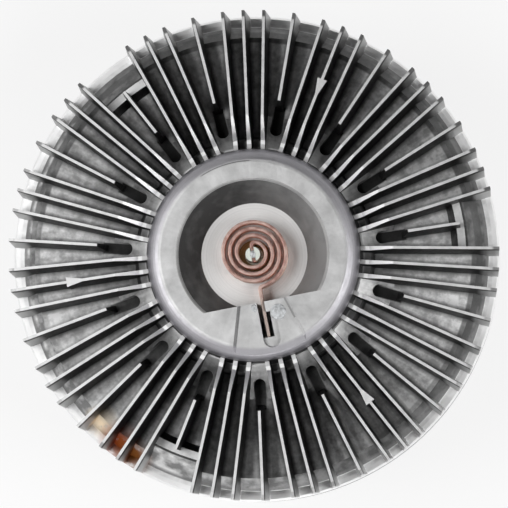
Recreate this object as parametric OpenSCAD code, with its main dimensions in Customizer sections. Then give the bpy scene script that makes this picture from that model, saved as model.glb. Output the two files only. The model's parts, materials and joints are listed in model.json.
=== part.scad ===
// Viscous fan clutch with a bimetal coil, coil face up, standing on its pump flange.
// Z is the axis of rotation and z = 0 is the rear face of the pump flange.

/* [Rotor and fluid chamber] */
// Outer radius of the clutch rotor
rotor_r = 76; // [73:0.5:79]
// Thickness of the rotor's web
rotor_web_t = 6.5; // [5:0.5:8]
// Number of annular lands on the rotor
land_count = 6; // [5:1:7]
// Width of each annular land
land_w = 1.6; // [1.4:0.1:1.8]
// Side clearance between lands that mesh
land_gap = 0.6; // [0.4:0.05:0.7]
// Height of the annular lands
land_h = 7; // [6:0.5:8]
// Axial gap between the rotor and the walls that face it
fluid_gap = 0.5; // [0.4:0.05:0.8]
// Radial gap round the rotor's edge
rim_gap = 0.7; // [0.5:0.05:1]
// Length of the rotor's hub between the bearing and the web
rotor_nose_len = 10; // [9:0.5:12]
// Number of fluid holes through the rotor's web
rotor_hole_count = 6; // [4:1:8]
// Radius of the rotor's fluid holes
rotor_hole_r = 3.5; // [3:0.25:4.5]

/* [Cover casting] */
// Thickness of the cover's wall over the lands
cover_wall = 5; // [4.5:0.25:7]
// Metal between the chamber and the drum's top edge
drum_wall = 9.3; // [8.5:0.1:11]
// Radial width of the sloping wall outside the drum
slope_w = 5; // [4:0.25:6]
// Width of the flat rim flange
flange_w = 4; // [3:0.25:6]
// Height of the drum above the rim flange
drum_rise = 6; // [5:0.25:7]
// Thickness of the cover's rim flange
cover_flange_t = 7; // [6.5:0.25:9]
// Wall between the reservoir and the shoulder's outer edge
shoulder_wall = 5; // [4.5:0.1:6]
// Width of the shoulder round the hub
shoulder_w = 3.7; // [3:0.1:4.2]
// Height of the shoulder above the drum's top
shoulder_h = 3; // [2:0.25:4]
// Height of the hub ring above the fins
hub_rise = 2; // [1:0.25:4]
// Radial run of the hub's sloping outer wall
hub_slope = 1.3; // [0.8:0.1:2]
// Rounding of the hub's outer edge
hub_round = 5.5; // [4.5:0.25:6]
// Chamfer on the cast edges
cast_edge = 0.8; // [0.4:0.1:1]

/* [Front fins] */
// Height of the fins above the drum's top
fin_h = 16; // [13:0.5:19]
// Number of fin groups from one solid pad to the next
groups_per_pad = 5; // [4:1:6]
// Direction of a group's middle fin from the X axis
group_phase = 18; // [0:1:24]
// Thickness of a fin along its front edge
fin_edge_t = 1.05; // [0.9:0.05:1.3]
// Draft on each side of a fin
fin_draft = 3; // [2:0.25:3.5]
// Turn of a group's side fins from the middle fin
side_turn = 3.05; // [2.8:0.05:3.3]
// Offset of a group's side fins from the axis
side_offset = 3; // [2.7:0.1:3.2]
// Height of the fins' low stretch above the bay ledges
fin_low_rise = 3; // [2:0.25:4]
// Length of the low stretch of the fins next to the hub
fin_low_len = 2.5; // [2:0.25:4]
// Length of the slope from the low stretch to the full height
fin_slope_len = 9; // [7:0.5:11]
// Distance from the hub to the inner end of the short fins
short_fin_start = 15; // [13:0.5:18]
// Slope length of the short fins' inner end
short_fin_lean = 3; // [2:0.5:5]
// Clearance between the fin tips and the rim's edge
tip_inset = 0.3; // [0.2:0.1:1]

/* [Cover details] */
// Number of bays that hold a solid pad at the drum's edge
pad_count = 3; // [2:1:4]
// Radial length of a pad from its top's inner edge to the drum's edge
pad_len = 7; // [6:0.5:8]
// Flat width of a pad's top
pad_flat = 3; // [2.5:0.25:3.5]
// Radial run of a pad's sloping inner wall
pad_lean = 2.5; // [2:0.25:3]
// Height of a pad above the drum's top
pad_h = 5.5; // [4:0.5:7]
// Number of groups from the first group to the first ejector wedge
wedge_group = 2; // [0:1:3]
// Distance from the rim to the blunt end of an ejector wedge
wedge_inset = 22; // [20:0.5:24]
// Length of an ejector wedge
wedge_len = 8.5; // [7:0.5:10]
// Width of an ejector wedge at its blunt end
wedge_w = 3.8; // [3:0.1:4.5]
// Radius of the rounded inner end of a bay's pocket
pocket_r = 2.4; // [2:0.1:2.8]
// Length of the sloping ledges on both sides of a bay's pocket
ledge_len = 10; // [8:0.5:12]
// Height of the bay ledges above the drum's top, at the hub
ledge_h = 7; // [6:0.25:8]

/* [Coil recess] */
// Width of the hub's ring, with its rounded edge
ring_w = 11.9; // [11:0.1:12.5]
// Depth of the recess below the hub's top
recess_depth = 13; // [12.5:0.25:14]
// Radial run of the recess's sloping wall
bowl_run = 8.5; // [7.5:0.1:9.5]
// Thickness of the recess's floor
hub_floor_t = 4; // [3.5:0.25:5]
// Depth of the hollow under the hub's ring, from the hub's top
core_depth = 7; // [6:0.25:8]
// Direction of the coil's anchor from the X axis
anchor_angle = 278.7; // [260:0.1:300]
// Distance from the axis to the flat wall of the anchor land
land_chord = 18.8; // [17.5:0.1:19.5]
// Depth of the anchor's keystone panel below the hub's top
keystone_depth = 1.2; // [0.8:0.1:1.5]
// Half width of the keystone panel at the flat wall
keystone_half_w = 9.6; // [8:0.2:11]
// Half angle of the keystone panel
keystone_half_angle = 17; // [12:1:20]
// Width of the slit that takes the coil's tang
tang_slit_w = 4.4; // [4:0.1:5]
// Metal left between the staking pocket's end and the hub's outer edge
tang_slot_margin = 4.2; // [3.5:0.1:5]
// Width of the staked lip that closes on the tang, along the slit
stake_len = 4; // [3:0.25:5]
// Width of the shallow staking pocket over the slit
stake_pocket_w = 6.6; // [6:0.1:7.2]
// Depth of the staking pocket below the keystone panel
stake_pocket_depth = 1.6; // [1.2:0.1:1.8]

/* [Bimetal coil] */
// Outer radius of the coil
coil_r = 13.3; // [12.5:0.1:14]
// Distance between the coil's turns
coil_pitch = 2.6; // [2.4:0.05:2.7]
// Number of full turns before the coil's last half turn
coil_turns = 3; // [2:1:3]
// Thickness of the coil's strip
strip_t = 1.2; // [0.9:0.1:1.4]
// Width of the coil's strip, along the axis
strip_w = 8.5; // [7.5:0.25:9]
// Centre line radius of the bends at the strip's ends
bend_r = 1.3; // [1.1:0.05:1.5]
// Clearance between the tang and what holds it
tang_clear = 0.15; // [0.1:0.01:0.3]
// Metal between the end of the tang and the end of the staking pocket
tang_end_gap = 4.4; // [4:0.1:5]

/* [Valve] */
// Radius of the valve shaft in its bush
valve_shaft_r = 3.5; // [3.2:0.1:4]
// Radius of the slotted end of the valve shaft
valve_tip_r = 2.8; // [2.5:0.1:3]
// Radial clearance of the valve shaft in its bush
valve_clear = 0.04; // [0.02:0.01:0.08]
// Radius of the valve shaft where the arm is riveted on
rivet_r = 2.4; // [2:0.1:2.6]
// Wall of the bush round the valve shaft
bush_wall = 2.5; // [2:0.1:3]
// Height of the bush above the recess's floor
bush_proud = 1; // [0.5:0.1:1.5]
// Axial play of the valve's moving pieces
axial_play = 0.3; // [0.25:0.05:0.5]
// Thickness of the valve arm
arm_t = 1.2; // [1:0.1:1.5]
// Width of the valve arm
arm_w = 8; // [7:0.25:9]
// Radius of the gate holes in the pump plate
gate_r = 4.5; // [4:0.25:5]
// Overlap of the valve arm's pads round the gate holes
gate_lap = 2; // [1.5:0.1:2.5]
// Clearance between the valve arm's pads and the reservoir wall
pad_clear = 1.5; // [1:0.1:2]
// Turn of the valve from closed to open
valve_travel = 30; // [28:1:34]
// Radius of the valve's stop pins
stop_pin_r = 1.5; // [1.2:0.1:1.8]
// Distance of the stop pins from the inner edge of the gate pads
stop_inset = 6.5; // [5:0.5:8]
// Thickness of the section of the shaft's seal
shaft_seal_d = 1.2; // [1:0.05:1.4]

/* [Pump plate] */
// Thickness of the pump plate
plate_t = 1.2; // [1:0.1:1.5]
// Gap between the plate's edge and the first rotor land
plate_margin = 1.9; // [1.5:0.1:2.5]
// Width of the seat round the reservoir
plate_seat_w = 9.5; // [9:0.1:10]
// Number of pump plate screws
plate_screw_count = 6; // [4:1:8]
// Thread radius of the pump plate screws
plate_screw_r = 2; // [1.5:0.25:2]
// Depth of the pump plate screws in the cover
plate_screw_depth = 3.5; // [3:0.25:3.75]
// Radius of the pump plate screws' heads
plate_head_r = 3.5; // [3:0.1:3.8]
// Height of the pump plate screws' heads
plate_head_h = 2.2; // [1.8:0.1:2.6]
// Width of the wiper at the rotor's edge
wiper_w = 9; // [7:0.5:11]
// Depth of the wiper's seat in the cover
wiper_seat = 3; // [2.5:0.25:3.5]
// Clearance between the wiper and the rotor's edge
wiper_clear = 0.3; // [0.25:0.05:0.4]
// Clearance of the wiper in its seat
wiper_fit = 0.05; // [0.03:0.01:0.1]
// Radius of the return passage from the wiper to the reservoir
return_r = 1.2; // [0.9:0.1:1.4]

/* [Rear housing] */
// Thickness of the housing's rear wall
housing_wall = 6.5; // [5.5:0.25:8]
// Thickness of the housing's rim
housing_rim_t = 9; // [8:0.25:10.5]
// Radial width of the flat rear face of the rim
rear_flat_w = 13; // [12:0.25:14]
// Number of the fan's bolts
fan_bolt_count = 4; // [3:1:6]
// Length of the fan's mounting bosses behind the rear wall
boss_h = 14; // [13:0.5:16]
// Radius of the fan's mounting bosses
boss_r = 9; // [8:0.25:10]
// Gap between the fan's spigot and the bosses
boss_gap = 3.5; // [3:0.25:6]
// Tap drill radius of the fan's bolt holes
fan_hole_r = 3.4; // [3:0.1:4]
// Depth of the fan's bolt holes
fan_hole_depth = 14; // [10:0.5:16]
// Length of the fan's spigot beyond the boss faces
spigot_len = 8; // [6:0.5:9]
// Radial room for the fan to pass over the pump flange
fan_pass = 1.5; // [1:0.1:3]
// Wall of the fan's spigot
spigot_wall = 6; // [5:0.25:7]
// Wall round the bearing
bearing_wall = 5; // [4:0.25:6]
// Width of the lip behind the bearing
lip_w = 5; // [4:0.25:6]
// Step between the spigot and the rear fins
rear_step_w = 2.5; // [2:0.1:2.8]
// Height of the rear fins
rear_fin_h = 8.5; // [7:0.25:10]
// Number of rear fins
rear_fin_count = 40; // [32:4:48]
// Thickness of a rear fin along its edge
rear_fin_t = 1.6; // [1.2:0.1:2]

/* [Rim joint] */
// Number of cover screws
cover_screw_count = 8; // [6:1:10]
// Thread radius of the cover screws
cover_screw_r = 2.5; // [2:0.25:2.5]
// Clearance of the cover screws in the housing
cover_screw_clear = 0.25; // [0.15:0.05:0.3]
// Distance of the cover screws from the rim's edge
cover_screw_inset = 7; // [6.5:0.1:7.5]
// Depth of the cover screws in the cover
cover_screw_depth = 5; // [4:0.25:5.5]
// Width across the flats of a cover screw's head
cover_head_af = 8; // [7:0.25:8.5]
// Height of a cover screw's head
cover_head_h = 4; // [3.5:0.25:5]
// Radius of the flange under a cover screw's head
cover_head_flange_r = 5.2; // [5:0.1:5.6]
// Thickness of the flange under a cover screw's head
cover_head_flange_t = 1.2; // [1:0.1:1.5]
// Thickness of the cover seal's section
cover_seal_d = 2; // [1.6:0.1:2.4]
// Metal between the chamber and the cover seal's groove
cover_seal_inset = 1.6; // [1.4:0.1:2]
// Clearance of the seals in their grooves
seal_clear = 0.03; // [0.02:0.01:0.05]

/* [Bearing] */
// Bore radius of the bearing
bearing_bore_r = 12.5; // [12:0.25:13]
// Outer radius of the bearing
bearing_outer_r = 26; // [25.5:0.25:27]
// Width of the bearing
bearing_w = 15; // [14:0.25:16]
// Radius of a bearing ball
ball_r = 3.97; // [3.8:0.01:4.1]
// Number of bearing balls
ball_count = 9; // [7:1:10]
// Radial distance between the two rings
ring_gap = 5.3; // [4.8:0.1:5.6]
// Running clearance of the balls in their grooves
ball_clear = 0.05; // [0.03:0.01:0.08]
// Wall of the cage
cage_wall = 2.4; // [2:0.1:2.8]
// Width of the cage
cage_w = 10.4; // [10:0.1:11]
// Clearance of the balls in the cage's pockets
cage_clear = 0.15; // [0.1:0.01:0.2]
// Thickness of the bearing's shields
shield_t = 0.8; // [0.6:0.05:1]
// Depth of the shields below the bearing's faces
shield_inset = 0.4; // [0.3:0.05:0.6]
// Clearance between the shields and the inner ring
shield_clear = 0.4; // [0.3:0.05:0.5]
// Depth of the shields' seats in the outer ring
shield_seat = 1; // [0.8:0.1:1.2]

/* [Retaining rings] */
// Thickness of both retaining rings
clip_t = 1.6; // [1.2:0.1:1.8]
// Depth of the retaining rings' grooves
clip_groove = 1.1; // [0.9:0.05:1.3]
// Width of the retaining rings outside their grooves
clip_w = 2.4; // [2:0.1:2.6]
// Clearance of the retaining rings in their grooves
clip_clear = 0.05; // [0.03:0.01:0.1]
// Opening angle of the retaining rings
clip_opening = 30; // [20:1:40]

/* [Input shaft] */
// Thickness of the pump flange
pump_flange_t = 8; // [7:0.25:10]
// Radius of the pump flange
pump_flange_r = 42; // [40:0.25:44]
// Bolt circle diameter of the pump flange
pump_pcd = 63.5; // [60:0.5:66]
// Number of pump flange bolts
pump_bolt_count = 4; // [3:1:6]
// Radius of the pump flange's bolt holes
pump_hole_r = 4.3; // [4:0.1:5]
// Radius of the pump's pilot bore
pilot_r = 7.94; // [7:0.01:8.5]
// Depth of the pump's pilot bore
pilot_depth = 12; // [8:0.5:14]
// Length of the shaft's neck between the flange and the bearing
neck_len = 20; // [18:0.5:24]
// Height of the shaft's shoulder behind the bearing
neck_step = 3.2; // [2.5:0.1:3.6]
// Height of the step between the bearing's and the rotor's seats
seat_step = 1.5; // [1.2:0.1:2]
// Length of the shaft beyond the rotor's retaining ring
shaft_end_len = 1.8; // [1.5:0.1:2]

/* [Hidden] */
$fn = 96;

// Overlap of shapes that are joined into one casting
bite = 2;
// Overshoot of a cut beyond the face it starts from
over = 1;
// Number of steps in a half turn of the coil, in a bend at its end and in the hub's rounding
half_turn_steps = 36;
bend_steps = 8;
round_steps = 8;
group_count = pad_count * groups_per_pad;
group_step = 360 / group_count;
bay_turn = group_step / 2;
coil_half_turns = 2 * coil_turns + 1;

// Heights, stacked from the pump flange to the hub's top
bearing_z = pump_flange_t + neck_len;
bearing_top_z = bearing_z + bearing_w;
rotor_z = bearing_top_z + rotor_nose_len;
rotor_web_z = rotor_z + rotor_web_t;
rotor_tip_z = rotor_web_z + land_h;
chamber_floor_z = rotor_z - fluid_gap;
cover_root_z = rotor_tip_z + fluid_gap;
cover_tip_z = rotor_web_z + fluid_gap;
drum_z = cover_root_z + cover_wall;
flange_z = drum_z - drum_rise;
parting_z = flange_z - cover_flange_t;
shoulder_z = drum_z + shoulder_h;
fin_z = drum_z + fin_h;
ledge_z = drum_z + ledge_h;
fin_low_z = ledge_z + fin_low_rise;
hub_z = fin_z + hub_rise;
recess_z = hub_z - recess_depth;
roof_z = recess_z - hub_floor_t;
core_z = hub_z - core_depth;
keystone_z = hub_z - keystone_depth;
plate_z = cover_root_z - plate_t;
rear_wall_z = chamber_floor_z - housing_wall;
rim_back_z = parting_z - housing_rim_t;
fan_face_z = rear_wall_z - boss_h;
spigot_z = fan_face_z - spigot_len;
rear_fin_z = rear_wall_z - rear_fin_h;
bush_top_z = recess_z + bush_proud;
arm_z = cover_root_z + axial_play;
arm_top_z = arm_z + arm_t;
coil_z = bush_top_z + axial_play;
coil_top_z = coil_z + strip_w;
shaft_top_z = coil_top_z + over;

// Radii, from the rotor outwards and inwards
land_pitch = 2 * (land_w + land_gap);
land_start_r = rotor_r - land_w - (land_count - 1) * land_pitch;
chamber_r = rotor_r + rim_gap;
drum_r = chamber_r + drum_wall;
flange_r = drum_r + slope_w;
rim_r = flange_r + flange_w;
fin_tip_r = rim_r - tip_inset;
plate_r = land_start_r - plate_margin;
reservoir_r = plate_r - plate_seat_w;
shoulder_r = reservoir_r + shoulder_wall;
hub_base_r = shoulder_r - shoulder_w;
hub_r = hub_base_r - hub_slope;
recess_r = hub_r - ring_w;
recess_floor_r = recess_r - bowl_run;
tang_slot_end = hub_r - tang_slot_margin;
tang_end = tang_slot_end - tang_end_gap;
bush_r = valve_shaft_r + valve_clear + bush_wall;
gate_pad_r = gate_r + gate_lap;
gate_circle_r = reservoir_r - gate_pad_r - pad_clear;
stop_circle_r = gate_circle_r - gate_pad_r - stop_inset;
plate_screw_circle_r = (reservoir_r + plate_r) / 2;
cover_screw_circle_r = rim_r - cover_screw_inset;
seal_in_r = chamber_r + cover_seal_inset;
rear_flat_r = rim_r - rear_flat_w;
wiper_angle = group_phase + bay_turn;

// Bearing radii
pitch_r = (bearing_bore_r + bearing_outer_r) / 2;
inner_land_r = pitch_r - ring_gap / 2;
outer_land_r = pitch_r + ring_gap / 2;
ball_z = bearing_z + bearing_w / 2;
shield_in_r = inner_land_r + shield_clear;
shield_out_r = outer_land_r + shield_seat;

// Shaft and hub radii
neck_r = bearing_bore_r + neck_step;
rotor_bore_r = bearing_bore_r - seat_step;
rotor_nose_r = inner_land_r - shield_clear;
spigot_r = pump_flange_r + fan_pass;
fan_circle_r = spigot_r + boss_gap + boss_r;
rear_step_r = spigot_r + rear_step_w;

// Slope of the recess's wall, and the hollow's wall that runs beside it
bowl_lean = bowl_run / recess_depth;
core_in_r = recess_floor_r + hub_floor_t * sqrt(1 + bowl_lean * bowl_lean);
core_out_r = hub_r - hub_round;

// Distance of a side fin from its group's middle line, at a distance u along that line
function side_lateral(u) = side_offset + u * tan(side_turn);
// A point on the side fin next to a bay, in a frame turned to the bay's middle line
function bay_edge(u) = [
  u * cos(bay_turn) + side_lateral(u) * sin(bay_turn),
  side_lateral(u) * cos(bay_turn) - u * sin(bay_turn)
];
function mirrored(p) = [p[0], -p[1]];
// Points of an arc, without its first one
function arc_points(centre, r, from_angle, to_angle, steps) = [
  for (k = [1 : steps])
    let (turn = from_angle + (to_angle - from_angle) * k / steps)
      [centre[0] + r * cos(turn), centre[1] + r * sin(turn)]
];

// Copies round the Z axis
module around(count, phase = 0) {
  for (i = [0 : count - 1]) rotate([0, 0, phase + i * 360 / count]) children();
}

// A ring of rectangular section
module ring(r_in, r_out, z0, z1) {
  rotate_extrude() translate([r_in, z0]) square([r_out - r_in, z1 - z0]);
}

// A vertical rod or hole
module rod(r, z0, z1) {
  translate([0, 0, z0]) cylinder(r = r, h = z1 - z0);
}

// A drafted fin along +X, with its edge at edge_z and its root at root_z
module blade(from_r, to_r, edge_t, edge_z, root_z) {
  half_edge = edge_t / 2;
  half_root = half_edge + abs(edge_z - root_z) * tan(fin_draft);
  side = edge_z > root_z ? 1 : -1;
  section = [
    [-side * half_root, root_z],
    [side * half_root, root_z],
    [side * half_edge, edge_z],
    [-side * half_edge, edge_z]
  ];
  translate([from_r, 0, 0]) rotate([90, 0, 90]) linear_extrude(to_r - from_r) polygon(section);
}

// Flat outline between the two fins of a bay, from one distance to another
module bay_outline(from_u, to_u, z0, z1) {
  a = bay_edge(from_u);
  b = bay_edge(to_u);
  translate([0, 0, z0]) linear_extrude(z1 - z0) polygon([a, b, mirrored(b), mirrored(a)]);
}

// Front cover: a cast hat with a hub, fin groups, pads and ledges

cover_outline = [
  [bush_r - over, roof_z],
  [core_in_r - hub_floor_t * bowl_lean, roof_z],
  [core_in_r + (core_z - recess_z) * bowl_lean, core_z],
  [core_out_r, core_z],
  [reservoir_r, shoulder_z - hub_floor_t],
  [reservoir_r, cover_root_z],
  [chamber_r, cover_root_z],
  [chamber_r, parting_z],
  [rim_r, parting_z],
  [rim_r, flange_z - cast_edge],
  [rim_r - cast_edge, flange_z],
  [flange_r, flange_z],
  [drum_r, drum_z],
  [shoulder_r + cast_edge, drum_z],
  [shoulder_r, shoulder_z - cast_edge],
  [shoulder_r - cast_edge, shoulder_z],
  [hub_base_r, shoulder_z],
  [hub_r, hub_z - hub_round],
  each arc_points([hub_r - hub_round, hub_z - hub_round], hub_round, 0, 90, round_steps),
  [bush_r - over, hub_z]
];

// Side view of the long fins: low beside the hub, full height to the rim
fin_outline = [
  [hub_base_r - bite, shoulder_z - cast_edge],
  [shoulder_r - over, shoulder_z - cast_edge],
  [shoulder_r - over, drum_z - bite],
  [drum_r - bite, drum_z - bite],
  [drum_r - bite, flange_z - bite],
  [fin_tip_r, flange_z - bite],
  [fin_tip_r, fin_z],
  [hub_base_r + fin_low_len + fin_slope_len, fin_z],
  [hub_base_r + fin_low_len, fin_low_z],
  [hub_base_r - bite, fin_low_z]
];

// Side view of the short fins, which start in the bay with a leaning end
short_fin_r = hub_base_r + short_fin_start;
short_fin_outline = [
  [short_fin_r, drum_z - bite],
  [drum_r - bite, drum_z - bite],
  [drum_r - bite, flange_z - bite],
  [fin_tip_r, flange_z - bite],
  [fin_tip_r, fin_z],
  [short_fin_r + short_fin_lean, fin_z]
];

// Side view of a bay's pad, from its flat top down to the rim flange
pad_in_r = drum_r - pad_len;
pad_foot_r = pad_in_r - pad_lean * (1 + bite / pad_h);
pad_outline = [
  [pad_foot_r, drum_z - bite],
  [drum_r - over, drum_z - bite],
  [drum_r - over, flange_z - bite],
  [flange_r - over, flange_z - bite],
  [flange_r - over, flange_z + over],
  [pad_in_r + pad_flat, drum_z + pad_h],
  [pad_in_r, drum_z + pad_h]
];

module fin_prism(from_r, to_r) {
  blade(from_r, to_r, fin_edge_t, fin_z, flange_z - bite - over);
}

module long_fins() {
  intersection() {
    around(group_count, group_phase) {
      fin_prism(hub_base_r - bite - over, rim_r);
      for (side = [-1, 1])
        translate([0, side * side_offset, 0])
          rotate([0, 0, side * side_turn])
            fin_prism(hub_base_r - bite - over, rim_r);
    }
    rotate_extrude() polygon(fin_outline);
  }
}

module short_fins() {
  for (i = [0 : group_count - 1])
    rotate([0, 0, group_phase - bay_turn + i * group_step])
      intersection() {
        fin_prism(short_fin_r - over, i % groups_per_pad == 0 ? pad_in_r + pad_flat / 2 : rim_r);
        rotate([90, 0, 0]) linear_extrude(hub_r, center = true) polygon(short_fin_outline);
      }
}

module bay_pads() {
  intersection() {
    around(pad_count, group_phase - bay_turn)
      bay_outline(pad_foot_r - bite, rim_r, flange_z - bite - over, fin_z);
    rotate_extrude() polygon(pad_outline);
  }
}

module ejector_wedges() {
  blunt_r = fin_tip_r - wedge_inset;
  point = [[blunt_r - wedge_len, 0], [blunt_r, -wedge_w / 2], [blunt_r, wedge_w / 2]];
  around(pad_count, group_phase + wedge_group * group_step)
    translate([0, 0, drum_z - bite])
      linear_extrude(fin_h + bite) polygon(point);
}

// Ledges in the bays: slopes from the hub down to the drum's top, split by a pocket with a rounded end
module bay_ledges() {
  pocket_u = shoulder_r + 2 * cast_edge + pocket_r;
  ledge_u = shoulder_r + ledge_len;
  slope = [
    [hub_base_r - bite, drum_z - bite],
    [ledge_u + over, drum_z - bite],
    [ledge_u + over, drum_z - over],
    [hub_base_r, ledge_z],
    [hub_base_r - bite, ledge_z]
  ];
  around(group_count, group_phase - bay_turn)
    difference() {
      intersection() {
        bay_outline(hub_base_r - over, ledge_u, drum_z - bite, ledge_z);
        rotate([90, 0, 0]) linear_extrude(hub_r, center = true) polygon(slope);
      }
      translate([pocket_u, 0, drum_z - over]) {
        cylinder(r = pocket_r, h = ledge_h + bite);
        translate([0, -pocket_r, 0]) cube([ledge_len, 2 * pocket_r, ledge_h + bite]);
      }
    }
}

module cover_lands() {
  for (i = [0 : land_count - 2]) {
    r = land_start_r + i * land_pitch + land_w + land_gap;
    ring(r, r + land_w, cover_tip_z, cover_root_z + over);
  }
}

// One sloping side of the keystone panel and the room beside it, along the panel's edge
module keystone_side() {
  run = hub_r / cos(keystone_half_angle);
  section = [
    [-over, hub_z + over],
    [keystone_depth, keystone_z],
    [run, keystone_z],
    [run, hub_z + over]
  ];
  translate([land_chord, -keystone_half_w, 0])
    rotate([90, 0, 90 - keystone_half_angle])
      translate([0, 0, -run]) linear_extrude(2 * run) polygon(section);
}

// Sunken keystone panel on the anchor's land, widening outwards
module keystone() {
  rotate([0, 0, anchor_angle])
    intersection() {
      keystone_side();
      mirror([0, 1, 0]) keystone_side();
      translate([land_chord - over, -hub_r, recess_z]) cube([hub_r, 2 * hub_r, hub_z]);
    }
}

module recess() {
  intersection() {
    union() {
      translate([0, 0, recess_z])
        cylinder(r1 = recess_floor_r, r2 = recess_r, h = recess_depth);
      translate([0, 0, hub_z - cast_edge])
        cylinder(r1 = recess_r - cast_edge * bowl_lean, r2 = recess_r + 2 * cast_edge, h = 2 * cast_edge);
    }
    rotate([0, 0, anchor_angle])
      translate([land_chord - 2 * hub_r, -hub_r, recess_z])
        cube([2 * hub_r, 2 * hub_r, recess_depth + over]);
  }
}

// Deep slit for the coil's tang, less the staked lip that closes on the strip from one side
module tang_slit() {
  half_w = tang_slit_w / 2;
  lip = half_w - strip_t / 2 - tang_clear;
  slit_z = coil_z - axial_play;
  height = hub_z + over - slit_z;
  translate([0, 0, slit_z])
    difference() {
      translate([land_chord - over, -half_w, 0])
        cube([tang_end + tang_clear - land_chord + over, tang_slit_w, height]);
      translate([land_chord, half_w - lip, 0]) cube([stake_len, lip, height]);
    }
}

// Shallow pocket with a round end, where the punch staked the lip
module stake_pocket() {
  end_r = stake_pocket_w / 2;
  start_x = land_chord + stake_len;
  end_x = tang_slot_end - end_r;
  translate([0, end_r - tang_slit_w / 2, keystone_z - stake_pocket_depth])
    linear_extrude(stake_pocket_depth + keystone_depth + over) {
      translate([start_x, -end_r]) square([end_x - start_x, stake_pocket_w]);
      translate([end_x, 0]) circle(r = end_r);
    }
}

module tang_slot() {
  rotate([0, 0, anchor_angle]) {
    tang_slit();
    stake_pocket();
  }
}

module cover_screw_holes() {
  around(cover_screw_count)
    translate([cover_screw_circle_r, 0, 0])
      rod(cover_screw_r, parting_z - over, parting_z + cover_screw_depth + over);
}

module plate_screw_holes() {
  around(plate_screw_count)
    translate([plate_screw_circle_r, 0, 0])
      rod(plate_screw_r, cover_root_z - over, cover_root_z + plate_screw_depth + over / 2);
}

// Passage through the wall from the wiper to the reservoir
module return_passage() {
  passage_z = cover_root_z + cover_wall / 2;
  inlet_turn = wiper_w / rotor_r * 180 / PI;
  rotate([0, 0, wiper_angle + inlet_turn]) {
    translate([reservoir_r - bite, 0, passage_z])
      rotate([0, 90, 0]) cylinder(r = return_r, h = rotor_r - reservoir_r + bite);
    translate([rotor_r - return_r, 0, 0]) rod(return_r, cover_tip_z, passage_z);
  }
}

// Block from an inner radius to the bottom of the wiper's seat, smaller by a fit where it meets the cover
module wiper_block(in_r, fit = 0) {
  width = wiper_w - 2 * fit;
  rotate([0, 0, wiper_angle])
    translate([in_r, -width / 2, parting_z])
      cube([chamber_r + wiper_seat - fit - in_r, width, cover_root_z - fit - parting_z]);
}

module front_cover() {
  color("silver")
    difference() {
      union() {
        rotate_extrude() polygon(cover_outline);
        cover_lands();
        long_fins();
        short_fins();
        bay_pads();
        ejector_wedges();
        bay_ledges();
      }
      recess();
      keystone();
      tang_slot();
      rod(bush_r, roof_z - over, hub_z);
      cover_screw_holes();
      plate_screw_holes();
      return_passage();
      wiper_block(rotor_r);
    }
}

// Rear housing: bearing hub, fan spigot and bosses, finned rear wall and rim

housing_outline = [
  [rim_r, parting_z],
  [chamber_r, parting_z],
  [chamber_r, chamber_floor_z],
  [bearing_outer_r, chamber_floor_z],
  [bearing_outer_r, bearing_z],
  [bearing_outer_r - lip_w, bearing_z],
  [bearing_outer_r - lip_w, spigot_z],
  [spigot_r - cast_edge, spigot_z],
  [spigot_r, spigot_z + cast_edge],
  [spigot_r, rear_fin_z],
  [rear_step_r, rear_fin_z],
  [rear_step_r, rear_wall_z],
  [rear_flat_r - bite, rear_wall_z],
  [rear_flat_r, rim_back_z],
  [rim_r - cast_edge, rim_back_z],
  [rim_r, rim_back_z + cast_edge]
];

// Side view of the rear fins, from the hub's step to the rim's flat face
rear_fin_outline = [
  [rear_step_r - over, rear_wall_z + bite],
  [rear_step_r - over, rear_fin_z + cast_edge],
  [rear_flat_r - rear_fin_h, rear_fin_z + cast_edge],
  [rear_flat_r - over, rim_back_z],
  [rear_flat_r - over, rim_back_z + over]
];

module rear_fins() {
  intersection() {
    around(rear_fin_count, 180 / rear_fin_count)
      blade(rear_step_r - bite, rear_flat_r, rear_fin_t, rear_fin_z, rim_back_z + bite + over);
    rotate_extrude() polygon(rear_fin_outline);
  }
}

module at_fan_bolts() {
  around(fan_bolt_count, 45) translate([fan_circle_r, 0, 0]) children();
}

module rear_housing() {
  weight_groove_z = bearing_z + bearing_w - bearing_wall;
  color("darkgray")
    difference() {
      union() {
        rotate_extrude() polygon(housing_outline);
        rear_fins();
        at_fan_bolts() rod(boss_r, fan_face_z, rear_wall_z + bite);
      }
      ring(bearing_outer_r + bearing_wall, spigot_r - spigot_wall, spigot_z - over, weight_groove_z);
      ring(bearing_outer_r - over, bearing_outer_r + clip_groove,
           bearing_top_z, bearing_top_z + clip_t + clip_clear);
      ring(seal_in_r, seal_in_r + cover_seal_d + seal_clear,
           parting_z - cover_seal_d - seal_clear, parting_z + over);
      at_fan_bolts() rod(fan_hole_r, fan_face_z - over, fan_face_z + fan_hole_depth);
      around(cover_screw_count)
        translate([cover_screw_circle_r, 0, 0])
          rod(cover_screw_r + cover_screw_clear, rim_back_z - over, parting_z + over);
    }
}

// Rim joint

module cover_screws() {
  head_top_z = rim_back_z - cover_head_flange_t;
  color("dimgray")
    around(cover_screw_count)
      translate([cover_screw_circle_r, 0, 0]) {
        rod(cover_screw_r, rim_back_z - over, parting_z + cover_screw_depth);
        rod(cover_head_flange_r, head_top_z, rim_back_z);
        translate([0, 0, head_top_z - cover_head_h + cover_head_flange_t])
          cylinder(d = cover_head_af / cos(30), h = cover_head_h, $fn = 6);
      }
}

module cover_seal_ring() {
  seal_r = cover_seal_d / 2;
  color("black")
    rotate_extrude()
      translate([seal_in_r + seal_r + seal_clear / 2, parting_z - seal_r - seal_clear / 2])
        circle(r = seal_r);
}

// Bimetal coil: a spiral of half turns about two centres, a hook in the valve shaft and a tang

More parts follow.
